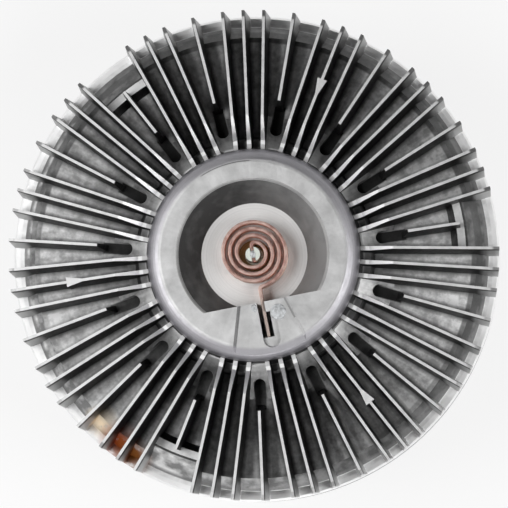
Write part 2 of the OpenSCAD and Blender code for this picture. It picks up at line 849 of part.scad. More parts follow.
coil_line_r = coil_r - strip_t / 2;
coil_shift = coil_pitch / 4;
coil_in_r = coil_line_r - (coil_half_turns - 1) * coil_pitch / 2;
hook_x = -sqrt(pow(coil_in_r - bend_r, 2) - bend_r * bend_r);
hook_turn = asin(bend_r / (coil_in_r - bend_r));
tang_x = sqrt(pow(coil_line_r + bend_r, 2) - bend_r * bend_r);
tang_turn = asin(bend_r / (coil_line_r + bend_r));

// One side of a half turn of strip; the first starts at the tang and the last ends at the hook
function half_turn(i, side) =
  arc_points(
    [i % 2 == 0 ? 0 : -2 * coil_shift, 0],
    coil_line_r - i * coil_pitch / 2 + side * strip_t / 2,
    i == 0 ? tang_turn : i % 2 * 180,
    i == coil_half_turns - 1 ? 180 - hook_turn : 180 + i % 2 * 180,
    half_turn_steps
  );

// One side of the strip, from the end of the tang to the end of the hook
function strip_side(side) =
  let (half_t = side * strip_t / 2)
  concat(
    [[tang_end, half_t], [tang_x, half_t]],
    arc_points([tang_x, bend_r], bend_r - half_t, 270, 180 + tang_turn, bend_steps),
    [for (i = [0 : coil_half_turns - 1]) each half_turn(i, side)],
    arc_points([hook_x, bend_r], bend_r + half_t, 180 - hook_turn, 270, bend_steps),
    [[valve_tip_r, -half_t]]
  );

module bimetal_coil() {
  outer = strip_side(1);
  inner = strip_side(-1);
  last = len(inner) - 1;
  color("rosybrown")
    rotate([0, 0, anchor_angle])
      translate([0, 0, coil_z])
        linear_extrude(strip_w)
          polygon(concat(outer, [for (k = [0 : last]) inner[last - k]]));
}

// Valve

module valve_shaft() {
  seal_z = (roof_z + recess_z) / 2;
  groove_r = valve_shaft_r - shaft_seal_d;
  slot_w = strip_t + 2 * tang_clear;
  slot_z = coil_z - axial_play / 2;
  color("lightsteelblue")
    difference() {
      union() {
        rod(rivet_r, arm_z, arm_top_z + over);
        rod(valve_shaft_r + over, arm_top_z, roof_z - axial_play);
        rod(valve_shaft_r, arm_top_z, bush_top_z);
        rod(valve_tip_r, bush_top_z - over, shaft_top_z);
      }
      ring(groove_r, valve_shaft_r + over, seal_z - shaft_seal_d / 2 - seal_clear,
           seal_z + shaft_seal_d / 2 + seal_clear);
      rotate([0, 0, anchor_angle])
        translate([-valve_tip_r - over, -slot_w / 2, slot_z])
          cube([2 * (valve_tip_r + over), slot_w, shaft_top_z]);
    }
}

module valve_shaft_seal() {
  seal_r = shaft_seal_d / 2;
  color("black")
    rotate_extrude()
      translate([valve_shaft_r - seal_r, (roof_z + recess_z) / 2]) circle(r = seal_r - seal_clear);
}

module valve_bush() {
  color("goldenrod") ring(valve_shaft_r + valve_clear, bush_r, roof_z, bush_top_z);
}

// Two ended arm with a round pad over each gate hole
module valve_arm() {
  color("lightgray")
    difference() {
      union() {
        translate([-gate_circle_r, -arm_w / 2, arm_z]) cube([2 * gate_circle_r, arm_w, arm_t]);
        around(2) translate([gate_circle_r, 0, 0]) rod(gate_pad_r, arm_z, arm_top_z);
        rod(bush_r, arm_z, arm_top_z);
      }
      rod(rivet_r, arm_z - over, arm_top_z + over);
    }
}

// The pins meet the arm's side at both ends of its travel
stop_turn = asin((arm_w / 2 + stop_pin_r + axial_play) / stop_circle_r);

module at_stops() {
  for (turn = [-stop_turn, valve_travel + stop_turn])
    rotate([0, 0, turn]) translate([stop_circle_r, 0, 0]) children();
}

module valve_stop_pins() {
  color("gray") at_stops() rod(stop_pin_r, plate_z, arm_top_z + axial_play);
}

// Pump plate

module pump_plate() {
  color("lightslategray")
    difference() {
      rod(plate_r, plate_z, cover_root_z);
      around(2) translate([gate_circle_r, 0, 0]) rod(gate_r, plate_z - over, cover_root_z + over);
      at_stops() rod(stop_pin_r, plate_z - over, cover_root_z + over);
      around(plate_screw_count)
        translate([plate_screw_circle_r, 0, 0]) rod(plate_screw_r, plate_z - over, cover_root_z + over);
    }
}

module pump_plate_screws() {
  color("dimgray")
    around(plate_screw_count)
      translate([plate_screw_circle_r, 0, 0])
        difference() {
          union() {
            rod(plate_screw_r, plate_z - over, cover_root_z + plate_screw_depth);
            rod(plate_head_r, plate_z - plate_head_h, plate_z);
          }
          translate([-plate_head_r - over, -plate_t / 2, plate_z - plate_head_h - over])
            cube([2 * (plate_head_r + over), plate_t, over + plate_head_h / 2]);
        }
}

module pump_wiper() {
  color("slategray") wiper_block(rotor_r + wiper_clear, wiper_fit);
}

// Rotor

rotor_outline = [
  [rotor_bore_r, bearing_top_z],
  [rotor_nose_r, bearing_top_z],
  [rotor_nose_r, bearing_top_z + clip_t],
  [rotor_nose_r + rotor_nose_len / 2, rotor_z],
  [rotor_r, rotor_z],
  [rotor_r, rotor_web_z],
  [rotor_bore_r, rotor_web_z]
];

module clutch_rotor() {
  hole_circle_r = (rotor_nose_r + land_start_r) / 2;
  color("gainsboro")
    difference() {
      union() {
        rotate_extrude() polygon(rotor_outline);
        for (i = [0 : land_count - 1]) {
          r = land_start_r + i * land_pitch;
          ring(r, r + land_w, rotor_web_z - over, rotor_tip_z);
        }
      }
      around(rotor_hole_count)
        translate([hole_circle_r, 0, 0]) rod(rotor_hole_r, rotor_z - over, rotor_web_z + over);
    }
}

// Sprung ring with an opening, between two radii
module open_ring(r_in, r_out, z0) {
  rotate([0, 0, clip_opening / 2])
    rotate_extrude(angle = 360 - clip_opening)
      translate([r_in, z0]) square([r_out - r_in, clip_t]);
}

module rotor_clip() {
  groove_r = rotor_bore_r - clip_groove + clip_clear;
  color("dimgray") open_ring(groove_r, rotor_bore_r + clip_w, rotor_web_z);
}

// Input shaft: pump flange, neck, bearing seat and rotor seat turned from one forging

shaft_end_z = rotor_web_z + clip_t + clip_clear + shaft_end_len;
shaft_outline = [
  [0, 0],
  [pump_flange_r - cast_edge, 0],
  [pump_flange_r, cast_edge],
  [pump_flange_r, pump_flange_t - cast_edge],
  [pump_flange_r - cast_edge, pump_flange_t],
  [neck_r + bite, pump_flange_t],
  [neck_r, pump_flange_t + bite],
  [neck_r, bearing_z],
  [bearing_bore_r, bearing_z],
  [bearing_bore_r, bearing_top_z],
  [rotor_bore_r, bearing_top_z],
  [rotor_bore_r, shaft_end_z - cast_edge],
  [rotor_bore_r - cast_edge, shaft_end_z],
  [0, shaft_end_z]
];

module input_shaft() {
  color("lightgray")
    difference() {
      rotate_extrude() polygon(shaft_outline);
      rod(pilot_r, -over, pilot_depth);
      around(pump_bolt_count, 45)
        translate([pump_pcd / 2, 0, 0]) rod(pump_hole_r, -over, pump_flange_t + over);
      ring(rotor_bore_r - clip_groove, rotor_bore_r + over,
           rotor_web_z, rotor_web_z + clip_t + clip_clear);
    }
}

// Bearing

module ball_track() {
  rotate_extrude() translate([pitch_r, ball_z]) circle(r = ball_r + ball_clear);
}

module bearing_outer_ring() {
  seat_t = shield_inset + shield_t;
  color("lightsteelblue")
    difference() {
      ring(outer_land_r, bearing_outer_r, bearing_z, bearing_top_z);
      ball_track();
      ring(outer_land_r - over, shield_out_r, bearing_z - over, bearing_z + seat_t);
      ring(outer_land_r - over, shield_out_r, bearing_top_z - seat_t, bearing_top_z + over);
    }
}

module bearing_inner_ring() {
  color("lightsteelblue")
    difference() {
      ring(bearing_bore_r, inner_land_r, bearing_z, bearing_top_z);
      ball_track();
    }
}

module at_balls() {
  around(ball_count) translate([pitch_r, 0, ball_z]) children();
}

module bearing_balls() {
  color("white") at_balls() sphere(r = ball_r);
}

module bearing_cage() {
  color("khaki")
    difference() {
      ring(pitch_r - cage_wall / 2, pitch_r + cage_wall / 2, ball_z - cage_w / 2, ball_z + cage_w / 2);
      at_balls()
        rotate([0, 90, 0]) cylinder(r = ball_r + cage_clear, h = 2 * cage_wall, center = true);
    }
}

module bearing_front_shield() {
  shield_z = bearing_top_z - shield_inset;
  color("gray") ring(shield_in_r, shield_out_r, shield_z - shield_t, shield_z);
}

module bearing_rear_shield() {
  shield_z = bearing_z + shield_inset;
  color("gray") ring(shield_in_r, shield_out_r, shield_z, shield_z + shield_t);
}

module bearing_clip() {
  groove_r = bearing_outer_r + clip_groove - clip_clear;
  color("dimgray") open_ring(bearing_outer_r - clip_w, groove_r, bearing_top_z);
}

front_cover();
rear_housing();
cover_screws();
cover_seal_ring();
bimetal_coil();
valve_shaft();
valve_arm();
valve_bush();
valve_shaft_seal();
valve_stop_pins();
pump_plate();
pump_plate_screws();
pump_wiper();
clutch_rotor();
rotor_clip();
input_shaft();
bearing_outer_ring();
bearing_inner_ring();
bearing_balls();
bearing_cage();
bearing_front_shield();
bearing_rear_shield();
bearing_clip();
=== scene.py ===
# %% [markdown]
# # A viscous fan clutch
# The clutch sits between an engine's water pump and its fan. A cast aluminium cover with radial fins
# sheds the heat of the fluid inside, and a copper-coloured spiral in the hub feels the air and turns a valve.
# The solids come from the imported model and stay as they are. This lesson gives each of them its finish,
# models what a solid shows too plainly, and sets up the floor, the lamps and the camera.

# %% Load the solids
import json
import math
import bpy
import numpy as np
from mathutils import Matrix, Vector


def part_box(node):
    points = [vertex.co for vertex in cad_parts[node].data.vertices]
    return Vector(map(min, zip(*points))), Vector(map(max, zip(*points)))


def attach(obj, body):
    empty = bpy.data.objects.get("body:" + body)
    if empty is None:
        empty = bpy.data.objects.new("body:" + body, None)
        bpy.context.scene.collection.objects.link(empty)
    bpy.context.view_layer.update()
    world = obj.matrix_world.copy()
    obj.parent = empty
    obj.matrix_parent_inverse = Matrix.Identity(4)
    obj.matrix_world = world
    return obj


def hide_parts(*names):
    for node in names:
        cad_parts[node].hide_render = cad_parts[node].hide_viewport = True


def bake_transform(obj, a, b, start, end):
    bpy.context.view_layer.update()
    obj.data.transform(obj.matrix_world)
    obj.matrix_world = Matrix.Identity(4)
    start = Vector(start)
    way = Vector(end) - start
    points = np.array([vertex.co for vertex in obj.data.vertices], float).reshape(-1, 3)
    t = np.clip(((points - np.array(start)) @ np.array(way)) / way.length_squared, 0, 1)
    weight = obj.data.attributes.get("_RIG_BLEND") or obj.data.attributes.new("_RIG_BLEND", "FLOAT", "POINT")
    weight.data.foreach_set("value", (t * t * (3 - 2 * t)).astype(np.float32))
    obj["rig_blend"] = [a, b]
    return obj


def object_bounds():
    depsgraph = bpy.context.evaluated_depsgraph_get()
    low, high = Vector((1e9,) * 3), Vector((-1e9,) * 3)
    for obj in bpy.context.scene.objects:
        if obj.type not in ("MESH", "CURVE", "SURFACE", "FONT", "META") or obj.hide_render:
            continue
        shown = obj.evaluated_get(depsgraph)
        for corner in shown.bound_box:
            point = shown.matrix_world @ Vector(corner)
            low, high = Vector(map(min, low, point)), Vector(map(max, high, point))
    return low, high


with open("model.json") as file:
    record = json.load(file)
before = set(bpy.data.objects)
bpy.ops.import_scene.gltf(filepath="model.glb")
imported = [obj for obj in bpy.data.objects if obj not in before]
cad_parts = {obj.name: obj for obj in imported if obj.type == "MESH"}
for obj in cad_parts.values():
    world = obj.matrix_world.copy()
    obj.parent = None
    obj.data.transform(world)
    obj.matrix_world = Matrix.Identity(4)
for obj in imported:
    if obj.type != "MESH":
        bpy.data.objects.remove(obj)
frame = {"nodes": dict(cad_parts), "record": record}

from types import SimpleNamespace

import bpy
from mathutils import Matrix, Vector, kdtree

MM = 0.001
nodes = frame["nodes"]
cad_low, cad_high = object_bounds()
bpy.ops.object.select_all(action="DESELECT")
print("solids:", len(nodes), "size in mm:", [round(x / MM, 1) for x in cad_high - cad_low])

# %% [markdown]
# ## Camera
# The photograph looks down on the cover from far away, a few degrees off the axis, and the part is turned a
# little in the frame. A camera can be aimed with a constraint, but three axes written as a matrix also give
# the roll. The lens follows from the distance and from the width that the picture takes in.

# %% Camera
image_turn = math.radians(2.34)
tilt, lean_side = math.radians(5.3), math.radians(-54.9)
distance, picture_width = 1.4, 199.1 * MM
aim = Vector((-0.9, 2.0, 62)) * MM

away = Vector((math.sin(tilt) * math.cos(lean_side), math.sin(tilt) * math.sin(lean_side), math.cos(tilt)))
right = Vector((math.sin(image_turn), math.cos(image_turn), 0)).cross(away).normalized()
axes = Matrix((right, away.cross(right), away)).transposed()
bpy.ops.object.camera_add(location=aim + away * distance, rotation=axes.to_euler())
camera = bpy.context.object
camera.data.sensor_width = 36
camera.data.lens = camera.data.sensor_width * distance / picture_width
bpy.context.scene.camera = camera
print("lens in mm:", round(camera.data.lens))

# %% [markdown]
# ## Floor and surround
# Finishes, floor and surround are trees of shader nodes. They could be drawn in the shader editor, but a tree that
# is written down can be read and changed. Four small helpers make a material, add a node, do a sum, and tell what
# the camera sees from the light that falls on the part.

# %% Helpers for node trees
bpy.context.scene.view_settings.view_transform = "Standard"


def new_finish(name):
    made = bpy.data.materials.new(name)
    made.use_nodes = True
    return made, made.node_tree.nodes["Principled BSDF"]


def add(made, kind, inputs=None, **settings):
    """A new shader node; an input is linked where its value is a socket, and set where it is a number."""
    tree = made.node_tree
    new = tree.nodes.new("ShaderNode" + kind)
    for name, value in settings.items():
        setattr(new, name, value)
    for name, value in (inputs or {}).items():
        if isinstance(value, bpy.types.NodeSocket):
            tree.links.new(value, new.inputs[name])
        else:
            new.inputs[name].default_value = value
    return new


def maths(made, operation, a, b):
    return add(made, "Math", {0: a, 1: b}, operation=operation).outputs[0]


def seen_rays(made):
    """1 for what the camera sees, straight or in a mirror or through glass, and 0 for light on the part."""
    path = add(made, "LightPath").outputs
    either = maths(made, "MAXIMUM", path["Is Camera Ray"], path["Is Glossy Ray"])
    return maths(made, "MAXIMUM", either, path["Is Transmission Ray"])


print("view transform:", bpy.context.scene.view_settings.view_transform)

# %% [markdown]
# The part stands on its pump flange, on a pale studio floor. A white floor lit by the lamps alone turns grey
# beside the part, so most of what the camera sees of it is an even white, and the rest keeps the shadow. A second
# floor that only the camera sees would do the same, but one material is simpler.

# %% Floor
floor_gap, even_white = 0.2 * MM, 0.8
bpy.ops.mesh.primitive_plane_add(size=4, location=(0, 0, cad_low.z - floor_gap))
floor = bpy.context.object
floor.name = "studio_floor"
paper, paper_shader = new_finish("studio_paper")
paper_shader.inputs["Base Color"].default_value = (0.97, 0.97, 0.97, 1)
paper_shader.inputs["Roughness"].default_value = 0.9
even_share = maths(paper, "MULTIPLY", seen_rays(paper), even_white)
white = add(paper, "Emission", {"Color": (1, 1, 1, 1), "Strength": 1.0}).outputs[0]
shown = add(paper, "MixShader", {0: even_share, 1: paper_shader.outputs[0], 2: white})
paper.node_tree.links.new(shown.outputs[0], paper.node_tree.nodes["Material Output"].inputs["Surface"])
floor.data.materials.append(paper)
print("floor at z in mm:", round(floor.location.z / MM, 1))

# %% [markdown]
# The surround is what the metal mirrors. It is white near the horizon and dark overhead, as in a studio with pale
# walls and an unlit ceiling, so flat faces turned to the camera don't mirror a white sky. It lights the part only
# weakly, and the lamps do the rest.

# %% Surround
wall_top, wall_foot, ceiling_level, wall_level, fill_level = 0.55, 0.25, 0.015, 1.0, 0.035
world = bpy.data.worlds.new("studio")
world.use_nodes = True
bpy.context.scene.world = world
sky = world.node_tree.nodes["Background"]
climb = add(world, "SeparateXYZ", {0: add(world, "TexCoord").outputs["Generated"]}).outputs["Z"]
walls = add(world, "MapRange", {
    "Value": climb, "From Min": wall_top, "From Max": wall_foot, "To Min": ceiling_level, "To Max": wall_level})
fill = add(world, "Mix", {0: seen_rays(world), 2: fill_level, 3: walls.outputs[0]}, data_type="FLOAT")
world.node_tree.links.new(fill.outputs[0], sky.inputs["Strength"])
sky.inputs["Color"].default_value = (1, 1, 1, 1)
print("surround nodes:", len(world.node_tree.nodes))

# %% [markdown]
# ## Lamps
# In the photograph the channels that run left and right are light down to their floors, while those that run
# up and down are black. So the main light is a soft box high at the left, a weaker one at the right fills, and a
# low one in front lifts the slopes that look that way. Each is an area lamp that looks at the hub.

# %% Lamps
def soft_box(name, azimuth, elevation, reach, width, watts):
    """A square area lamp in a direction seen from the hub, at a reach in metres."""
    azimuth, elevation = math.radians(azimuth), math.radians(elevation)
    level = math.cos(elevation)
    toward = Vector((level * math.cos(azimuth), level * math.sin(azimuth), math.sin(elevation)))
    bpy.ops.object.light_add(
        type="AREA", location=aim + toward * reach, rotation=toward.to_track_quat("Z", "Y").to_euler())
    lamp = bpy.context.object
    lamp.name = name
    lamp.data.size = width
    lamp.data.energy = watts


soft_box("left_box", azimuth=184, elevation=56, reach=1.15, width=0.7, watts=8)
soft_box("right_box", azimuth=-20, elevation=50, reach=1.15, width=0.5, watts=6)
soft_box("front_box", azimuth=-88, elevation=24, reach=1.05, width=0.35, watts=1.8)

# %% [markdown]
# ## Cast aluminium
# The cover, the housing and the rotor are die castings. Flanks and deep places are painted dark, partly as a film
# from use and partly as painted shade, while what looks forward is rubbed lighter, blotched, and streaked outwards
# where the metal flowed and air has passed.
# The colour could be painted by hand. Here it follows the surface's own direction and place, in Object
# coordinates, so it stays fixed to the metal at its real size. A few small helpers keep the node trees short.

# %% Helpers for finishes
def place_of(made):
    """The point on the piece, and its distance from the clutch's axis."""
    point = add(made, "TexCoord").outputs["Object"]
    flat = add(made, "VectorMath", {0: point, 1: (1, 1, 0)}, operation="MULTIPLY").outputs[0]
    return point, add(made, "VectorMath", {0: flat}, operation="LENGTH").outputs["Value"]


def parts_of(made, vector):
    return add(made, "SeparateXYZ", {0: vector}).outputs


def noise(made, point, per_metre, detail=3.0):
    return add(made, "TexNoise", {"Vector": point, "Scale": per_metre, "Detail": detail}).outputs[0]


def ramp(made, value, start, end, low=0.0, high=1.0):
    limits = {"Value": value, "From Min": start, "From Max": end, "To Min": low, "To Max": high}
    return add(made, "MapRange", limits).outputs[0]


def size_of(made, value):
    return add(made, "Math", {0: value}, operation="ABSOLUTE").outputs[0]


def times(made, first, *others):
    for other in others:
        first = maths(made, "MULTIPLY", first, other)
    return first


def blend_colours(made, share, first, second):
    return add(made, "Mix", {0: share, 6: first, 7: second}, data_type="RGBA").outputs[2]


def grey(level, warmth=0.0):
    return (level * (1 + warmth), level, level * (1 - warmth), 1)


def coat(made, shader, colour, rough, bump_height, strength, depth, metallic=None):
    """Links a finish to its shader: a colour, a roughness and a bump."""
    links = made.node_tree.links
    bump = add(made, "Bump", {"Height": bump_height, "Strength": strength, "Distance": depth})
    links.new(colour, shader.inputs["Base Color"])
    links.new(rough, shader.inputs["Roughness"])
    links.new(bump.outputs[0], shader.inputs["Normal"])
    if metallic is not None:
        shader.inputs["Metallic"].default_value = metallic


print("a warm grey:", [round(part, 3) for part in grey(0.5, 0.02)])

# %% [markdown]
# The skin of a casting mixes three scales: streaks that run outwards, small mottles and wide clouds. All three are
# weaker on the hub than among the fins. One mask then picks between the dark film, which is also painted shade, and
# the rubbed metal, by how far the surface looks along the axis. The same function makes the skin of all three
# castings.

# %% Casting skin
hub_end, fins_start = 42 * MM, 46 * MM


def radial_streaks(made, point, radius, per_turn, per_metre):
    """Noise that is long along the radius and short round the axis."""
    flat = add(made, "VectorMath", {0: point, 1: (1, 1, 0)}, operation="MULTIPLY").outputs[0]
    outward = add(made, "VectorMath", {0: flat}, operation="NORMALIZE").outputs[0]
    round_axis = add(made, "VectorMath", {0: outward, "Scale": per_turn}, operation="SCALE").outputs[0]
    along = add(made, "CombineXYZ", {"Z": maths(made, "MULTIPLY", radius, per_metre)}).outputs[0]
    place = add(made, "VectorMath", {0: round_axis, 1: along}, operation="ADD").outputs[0]
    return noise(made, place, 1.0, 4.0)


def cast_skin(name, film_shade_level, skin, grain_depth, patchy=1.0):
    """A casting's finish: upright faces painted dark, as a coat from use and as painted shade, rubbed lighter where
    the metal looks forward or back.
    """
    made, shader = new_finish(name)
    point, radius = place_of(made)
    normal = parts_of(made, add(made, "TexCoord").outputs["Normal"])
    facing = size_of(made, normal["Z"])
    streaks = ramp(made, radial_streaks(made, point, radius, 26, 45), 0.3, 0.7, -0.3, 0.3)
    mottle = ramp(made, noise(made, point, 480, 6), 0.3, 0.7, -0.4, 0.4)
    in_fins = ramp(made, radius, hub_end, fins_start, 0.15 * patchy, patchy)
    clouds = ramp(made, noise(made, point, 110, 6), 0.3, 0.7, 0.5 - 0.5 * patchy, 0.5 + 0.5 * patchy)
    cloud_mean, cloud_share = 0.6, ramp(made, radius, hub_end, fins_start, 0.5, 1)
    clouds = maths(made, "ADD", cloud_mean, times(made, maths(made, "SUBTRACT", clouds, cloud_mean), cloud_share))
    blotches = maths(made, "ADD", times(made, maths(made, "ADD", streaks, mottle), in_fins), clouds)
    blotches = add(made, "Clamp", {0: blotches}).outputs[0]
    # Upright faces: partly a dark film from use and partly painted shade between the fins.
    film_and_shade = blend_colours(made, blotches, grey(film_shade_level * 0.6), grey(film_shade_level * 1.4))
    rubbed = blend_colours(made, blotches, grey(skin * 0.58), grey(skin * 1.2))
    colour = blend_colours(made, ramp(made, facing, 0.6, 0.9), film_and_shade, rubbed)
    grain = noise(made, point, 1100, 3)
    rough = ramp(made, grain, 0.3, 0.7, 0.44, 0.58)
    coat(made, shader, colour, rough, grain, 0.25, grain_depth, metallic=1.0)
    return SimpleNamespace(
        made=made, shader=shader, point=point, parts=parts_of(made, point), radius=radius, normal=normal,
        facing=facing, colour=colour, rough=rough)


cover = cast_skin("cover_cast", film_shade_level=0.055, skin=0.66, grain_depth=0.1 * MM)
print("cover skin:", len(cover.made.node_tree.nodes), "nodes")

# %% [markdown]
# ## Marks of the cover
# The cover has marks of its own, and each is a mask: a ring-shaped zone between two distances from the axis and two
# heights, narrowed by the surface's direction or by a side of the part. A mask could be a painted image, but a zone
# follows the casting's own sizes and stays sharp at any distance. Lengths in these cells are in millimetres.

# %% Zones and paint
hub_top, fin_front, drum_top, flange_top = 90, 88, 72, 66
drum_edge, rim_edge = 86, 95
past_rim = rim_edge + 1


def span(value, start, end, low=0.0, high=1.0):
    """A ramp on the cover between two lengths."""
    return ramp(cover.made, value, start * MM, end * MM, low, high)


def looks(start, end, low=0.0, high=1.0):
    """A ramp on how far the surface looks along the axis: 1 for a flat face, 0 for an upright one."""
    return ramp(cover.made, cover.facing, start, end, low, high)


def zone(inner, outer, low, high, soft=0.3):
    """A mask that is 1 between two distances from the axis and between two heights, with soft ends."""
    height = cover.parts["Z"]
    return times(
        cover.made, span(cover.radius, inner - soft, inner), span(cover.radius, outer + soft, outer),
        span(height, low - soft, low), span(height, high + soft, high))


def paint(colour, *masks):
    """Lays a colour over what the cover has so far, where all the masks allow it."""
    cover.colour = blend_colours(cover.made, times(cover.made, *masks), cover.colour, colour)


print("heights in mm: hub", hub_top, "fins", fin_front, "drum", drum_top, "flange", flange_top)

# %% [markdown]
# ### Channels
# Painted shade follows the feet of the fins, so it needs the distance to the nearest fin. The fins could be found one
# by one, but they repeat every 24 degrees: a middle fin, two side fins that spread outwards, and a short fin in the
# bay between two groups. An angle that is wrapped to one group serves them all.

# %% Distances to the fins
group_step, first_bay = math.radians(24), math.radians(6)
side_fin_start, side_fin_slope = 3 * MM, math.tan(math.radians(3.05))
short_fin_from, short_fin_fade, far_off = 59, 2, 10 * MM
turned_by = maths(cover.made, "ARCTAN2", cover.parts["Y"], cover.parts["X"])


def turn_from(start):
    """The angle to the nearest of the places that repeat from a start."""
    turn = maths(cover.made, "SUBTRACT", turned_by, start)
    limits = {0: turn, 1: group_step / 2, 2: -group_step / 2}
    return add(cover.made, "Math", limits, operation="WRAP").outputs[0]


group_sine = add(cover.made, "Math", {0: turn_from(first_bay + group_step / 2)}, operation="SINE").outputs[0]
off_middle = size_of(cover.made, times(cover.made, cover.radius, group_sine))
side_line = {0: cover.radius, 1: side_fin_slope, 2: side_fin_start}
side_fin = add(cover.made, "Math", side_line, operation="MULTIPLY_ADD").outputs[0]
off_side = size_of(cover.made, maths(cover.made, "SUBTRACT", off_middle, side_fin))
off_bay = size_of(cover.made, times(cover.made, turn_from(first_bay), cover.radius))
inside_short = span(cover.radius, short_fin_from, short_fin_from - short_fin_fade, 0, far_off)
off_short = maths(cover.made, "ADD", off_bay, inside_short)
off_fin = maths(cover.made, "MINIMUM", maths(cover.made, "MINIMUM", off_middle, off_side), off_short)
print("groups of fins:", round(2 * math.pi / group_step))

# %% [markdown]
# Painted shade darkens the channels near the hub, along the feet of the fins, and in the pockets that split the
# ledges, a little less at the bottom of the part. The floors between are lightened as painted light, most of all on
# the right.

# %% Painted shade and light in the channels
pocket_half = 2.2


def side_of(direction):
    """How far a point lies in a direction."""
    dot = add(cover.made, "VectorMath", {0: cover.point, 1: direction}, operation="DOT_PRODUCT")
    return dot.outputs["Value"]


upper_side = side_of((0.35, 0.94, 0))
# Painted shade: the channels darken towards the hub, where the hub and the fins cast shadow.
paint(grey(0.05), span(cover.radius, 68, 48, 0, 0.72), span(cover.parts["Z"], 80, 74), span(cover.radius, 42, 43))
# Painted light: the channel floors are lightened, most of all on the right.
floors = times(cover.made, zone(50, drum_edge, drum_top - 2, drum_top + 0.5), looks(0.9, 0.97))
painted_floor_light = blend_colours(cover.made, span(cover.parts["X"], -70, 70), grey(1.06), grey(1.4))
painted_floor_light_mix = {0: floors, 6: cover.colour, 7: painted_floor_light}
cover.colour = add(cover.made, "Mix", painted_floor_light_mix, data_type="RGBA", blend_type="MULTIPLY").outputs[2]
# Painted shade along the feet of the fins.
paint(grey(0.06), span(off_fin, 3, 1.5, 0, 0.75), floors)
# Painted shade in the pockets that split the ledges, a little less at the bottom of the part.
paint(grey(0.015), zone(45.5, 59, drum_top - 2, drum_top + 1, 0.8),
      span(off_bay, pocket_half + 0.2, pocket_half - 0.3), span(upper_side, -50, -10, 0.75, 0.96))
print("cover finish:", len(cover.made.node_tree.nodes), "nodes")

# %% [markdown]
# ### Fins and pads
# Handling rubs what stands highest: the fins' front edges and the tops of the three pads. The fins' low ends at the
# hub carry a painted highlight. The outer tips are painted darker towards the top of the part, and their ends lighter
# towards the bottom.

# %% Fins and pads
pad_top, tips_top = 77.5, 83


def cover_noise(per_metre, detail=5):
    return noise(cover.made, cover.point, per_metre, detail)


paint(grey(0.82), zone(78.8, 82.2, pad_top - 0.5, pad_top + 0.5), looks(0.8, 0.95, 0, 0.6))
edge_skin = blend_colours(cover.made, cover_noise(300), grey(0.55), grey(0.88))
paint(edge_skin, zone(45, 92.3, fin_front - 0.05, hub_top, 0.4))
# Painted highlight on the fins' low ends at the hub.
paint(grey(0.9), zone(43.5, 54, 79.5, fin_front - 0.1, 0.5), looks(0.7, 0.85))
paint(grey(0.08), zone(92.6, past_rim, 84.5, hub_top, 0.8), span(upper_side, -20, 40, 0.1, 1), 0.85)
paint(grey(0.55), zone(89, past_rim, flange_top - 1, tips_top, 2), looks(0.7, 0.5), 0.85)
paint(grey(0.8), zone(94.6, past_rim, flange_top + 0.5, hub_top), span(upper_side, 20, -40, 0, 0.8))
print("cover finish:", len(cover.made.node_tree.nodes), "nodes")

# %% [markdown]
# ### Edge of the drum and rim
# Outside the fins' floors the drum slopes down to a flat flange. The slope is dark, and lighter in patches towards
# the left as painted light from the main lamp's side. A band of painted shade lies over its upper edge, stronger
# towards the top. The flange is the cleanest place, and the rim's outer wall is dull.

# %% Edge of the drum and rim
# Painted light: the slope is lighter in noisy patches towards the left, where the main lamp stands.
left_light_and_patches = times(cover.made, span(side_of((-0.9, -0.44, 0)), 15, 60, 0.25, 1),
             ramp(cover.made, cover_noise(170), 0.4, 0.62, 0.28, 1))
slope_skin = blend_colours(cover.made, left_light_and_patches, grey(0.06), grey(0.78))
paint(slope_skin, zone(83, 92, flange_top + 0.1, 80), looks(0.12, 0.25), looks(0.95, 0.85),
      span(cover.radius, 90.2, 89.2, 0.15, 1))
# Painted shade over the drum's upper edge, stronger towards the top.
paint(grey(0.11), zone(84.4, 88.2, 69, drum_top + 0.5, 0.6), span(upper_side, -60, -5, 0.1, 0.75))
flange_patches = ramp(cover.made, cover_noise(190), 0.35, 0.62)
flange_skin = blend_colours(cover.made, flange_patches, grey(0.74), grey(0.97))
paint(flange_skin, zone(87.5, past_rim, flange_top - 1, flange_top + 0.1), 0.9)
wall_skin = blend_colours(cover.made, cover_noise(220), grey(0.26), grey(0.5))
paint(wall_skin, zone(rim_edge - 1, past_rim, 50, flange_top - 0.5), looks(0.5, 0.3), 0.9)
paint(grey(0.95), zone(92.6, past_rim, flange_top - 0.8, flange_top + 1), 0.7)
print("cover finish:", len(cover.made.node_tree.nodes), "nodes")

# %% [markdown]
# ### Hub
# The hub's ring is cleaner than the fins, with a lilac cast on its rounded edge. One side of the panel that holds the
# coil's end carries a painted highlight, and a fine casting line runs along the ring at the top. The bowl below is
# rough and painted darker on its left as painted shade, broken into patches, and the recess's floor is turned smooth.

# %% Hub
hub_edge_tint = (0.41, 0.4, 0.43, 1)


def rings(made, radius, per_metre, detail):
    """Noise that changes only with the distance from the axis, as a lathe's marks do."""
    inputs = {"W": radius, "Scale": per_metre, "Detail": detail}
    return add(made, "TexNoise", inputs, noise_dimensions="1D").outputs[0]


paint(hub_edge_tint, zone(37, 43, 84, hub_top, 1.2), 0.8)
# Painted highlight on one side wall of the panel that holds the coil's end.
paint(grey(0.8), zone(18, 37, 88.7, hub_top - 0.05, 0.1), ramp(cover.made, cover.normal["X"], -0.2, -0.45),
      span(cover.parts["Y"], -13, -16), 0.6)
line_r, line_half, line_fade = 36, 0.15, 0.02
line_from, line_to = math.radians(89), math.radians(121)
paint(grey(0.12), zone(line_r - line_half, line_r + line_half, hub_top - 0.5, hub_top + 1, line_half),
      ramp(cover.made, turned_by, line_from - line_fade, line_from + line_fade),
      ramp(cover.made, turned_by, line_to + line_fade, line_to - line_fade), 0.7)

bowl = times(cover.made, zone(20.7, 29.2, 77.2, hub_top - 0.5), looks(0.9, 0.7))
